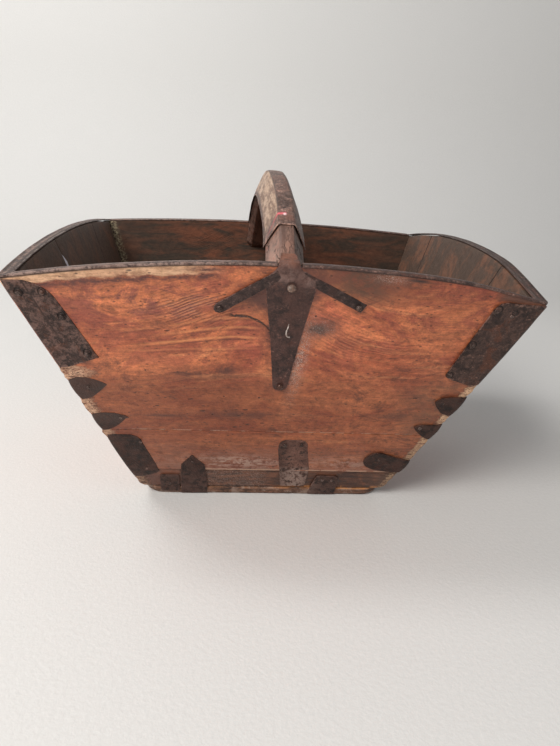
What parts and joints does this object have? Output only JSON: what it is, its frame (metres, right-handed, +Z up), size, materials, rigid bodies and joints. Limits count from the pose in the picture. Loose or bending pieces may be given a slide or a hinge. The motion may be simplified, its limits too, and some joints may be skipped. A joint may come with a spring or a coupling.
{
  "type": "flared wooden carrying basket",
  "caption": "Open-topped wooden basket with outward-sloping board walls, iron rim straps, corner plates and a fixed arched handle on iron brackets.",
  "frame": {"origin": "on the ground under the middle of the base board; the walls' corners are centred on it in X and Y", "axes": "+X to the right along the long front wall, +Y from the front wall to the back wall, +Z up"},
  "size_m": [0.4452, 0.415, 0.3315],
  "materials": {
    "front_wood": "worn oiled wood, orange brown",
    "end_wood": "dark aged wood",
    "base_wood": "rough aged wood",
    "handle_wood": "hand-polished grey-brown wood",
    "iron": "forged sheet iron, dark brown patina",
    "rim_iron": "worn iron strap, brown patina",
    "nail_iron": "forged nail heads, rubbed"
  },
  "bodies": {
    "root": {"back_bracket": "iron", "back_bracket_nail": "nail_iron", "back_bracket_rivet": "nail_iron", "back_left_arm": "iron", "back_left_arm_nail": "nail_iron", "back_left_corner_plate": "iron", "back_left_lower_clip": "iron", "back_left_middle_clip": "iron", "back_left_rim_strap": "rim_iron", "back_left_upper_clip": "iron", "back_long_clip": "iron", "back_lower_board": "front_wood", "back_middle_board": "front_wood", "back_pointed_clip": "iron", "back_right_arm": "iron", "back_right_arm_nail": "nail_iron", "back_right_corner_plate": "iron", "back_right_lower_clip": "iron", "back_right_middle_clip": "iron", "back_right_rim_strap": "rim_iron", "back_right_upper_clip": "iron", "back_tapered_clip": "iron", "back_upper_board": "front_wood", "base_board": "base_wood", "bent_nail": "nail_iron", "front_bracket": "iron", "front_bracket_nail": "nail_iron", "front_bracket_rivet": "nail_iron", "front_left_arm": "iron", "front_left_arm_nail": "nail_iron", "front_left_corner_plate": "iron", "front_left_lower_clip": "iron", "front_left_middle_clip": "iron", "front_left_rim_strap": "rim_iron", "front_left_upper_clip": "iron", "front_long_clip": "iron", "front_lower_board": "front_wood", "front_middle_board": "front_wood", "front_pointed_clip": "iron", "front_right_arm": "iron", "front_right_arm_nail": "nail_iron", "front_right_corner_plate": "iron", "front_right_lower_clip": "iron", "front_right_middle_clip": "iron", "front_right_rim_strap": "rim_iron", "front_right_upper_clip": "iron", "front_square_clip": "iron", "front_tapered_clip": "iron", "front_upper_board": "front_wood", "handle": "handle_wood", "handle_sleeve": "iron", "left_end_back_stave": "end_wood", "left_end_front_stave": "end_wood", "left_end_middle_stave": "end_wood", "left_end_rim_strap": "rim_iron", "right_end_back_stave": "end_wood", "right_end_front_stave": "end_wood", "right_end_middle_stave": "end_wood", "right_end_rim_strap": "rim_iron"}
  },
  "joints": []
}
